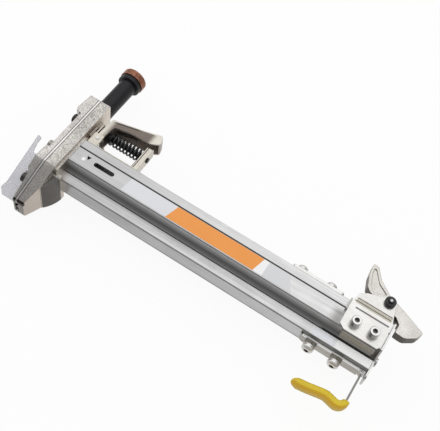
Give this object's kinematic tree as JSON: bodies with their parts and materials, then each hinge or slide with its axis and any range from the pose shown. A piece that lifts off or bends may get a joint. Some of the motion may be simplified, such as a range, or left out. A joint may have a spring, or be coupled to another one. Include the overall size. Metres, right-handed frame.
{
  "type": "hand struck v nailing machine",
  "caption": "Hand nailer struck from above: a steel head with a sprung striking rod and V driver on a long nail magazine with latches, tail plate, sighting plate and hooked foot.",
  "frame": {"origin": "centre of the nozzle face, on the driver's line and on the middle plane", "axes": "+X back along the magazine towards the tail, +Y up the driver's line towards the striking cap, +Z across the machine, up from the bench it lies on"},
  "size_m": [0.3695, 0.1763, 0.0505],
  "materials": {
    "head_steel": "ground and plated, fine grain",
    "cover_steel": "ground and plated, fine grain",
    "ground_strip": "ground",
    "black_screw": "black oxide",
    "bright_screw": "zinc plated",
    "clear_sheet": "translucent, smooth",
    "anodised": "satin anodised",
    "bracket_sheet": "polished sheet",
    "beak_nickel": "satin nickel plated casting",
    "black_steel": "black, polished",
    "copper": "worn copper",
    "spring_steel": "dark spring wire",
    "blade_steel": "hardened, ground",
    "latch_sheet": "plated sheet",
    "pusher_black": "moulded",
    "tail_sheet": "plated sheet",
    "foot_sheet": "plated sheet",
    "yellow_dip": "soft dipped coating"
  },
  "bodies": {
    "frame": {"head_base": "head_steel", "guide_strips": "ground_strip", "front_cover": "cover_steel", "cover_screws": "black_screw", "clear_guide_plate": "clear_sheet", "clear_plate_screws": "bright_screw", "magazine_channel": "anodised", "magazine_cover": "anodised", "rail_clamp_strip": "tail_sheet", "rail_clamp_screws": "bright_screw", "rear_bracket": "bracket_sheet", "bracket_washers": "bright_screw", "bracket_screws": "bright_screw", "beak_pin": "black_screw", "spring_seat": "blade_steel", "return_spring": "spring_steel", "latch_bracket": "latch_sheet", "latch_screws": "bright_screw", "latch_lever_pin": "bright_screw", "latch_spring": "spring_steel", "foot_bar": "foot_sheet", "foot_sleeve": "yellow_dip", "foot_screws": "bright_screw", "foot_nuts": "black_screw"},
    "striker": {"striking_rod": "black_steel", "copper_cap": "copper", "driver_blade": "blade_steel", "blade_pin": "blade_steel"},
    "beak": {"beak_lever": "beak_nickel"},
    "tail": {"end_plate": "tail_sheet", "guide_rod": "bright_screw", "pusher_spring": "spring_steel"},
    "feeder": {"pusher": "pusher_black"},
    "lever": {"latch_lever": "latch_sheet"},
    "plunger": {"latch_plunger": "black_steel"}
  },
  "joints": [
    {"name": "striker_slide", "type": "slide", "parent": "frame", "child": "striker", "axis": [0, -1, 0], "range_m": [0, 0.0443], "stiffness_N_per_m": 300, "springref_m": -0.02, "deforming": ["return_spring"]},
    {"name": "beak_hinge", "type": "hinge", "parent": "frame", "child": "beak", "pos_m": [0.3047, 0.0938, 0], "axis": [0, 0, 1], "range_deg": [0, 45]},
    {"name": "tail_slide", "type": "slide", "parent": "frame", "child": "tail", "axis": [1, 0, 0], "range_m": [0, 0.015]},
    {"name": "pusher_slide", "type": "slide", "parent": "tail", "child": "feeder", "axis": [1, 0, 0], "range_m": [0, 0.22], "stiffness_N_per_m": 15, "springref_m": -0.1, "deforming": ["pusher_spring"]},
    {"name": "latch_lever_hinge", "type": "hinge", "parent": "frame", "child": "lever", "pos_m": [0.0194, 0.0875, 0], "axis": [0, 0, 1], "range_deg": [-10, 0], "stiffness_Nm_per_rad": 0.27, "springref_deg": 22.92},
    {"name": "latch_plunger_slide", "type": "slide", "parent": "frame", "child": "plunger", "axis": [1, 0, 0], "range_m": [0, 0.0029], "deforming": ["latch_spring"]}
  ],
  "couplings": [
    {"joint": "tail_slide", "follows": "beak_hinge", "m_per_rad": 0.019},
    {"joint": "latch_plunger_slide", "follows": "latch_lever_hinge", "m_per_rad": -0.0165}
  ]
}
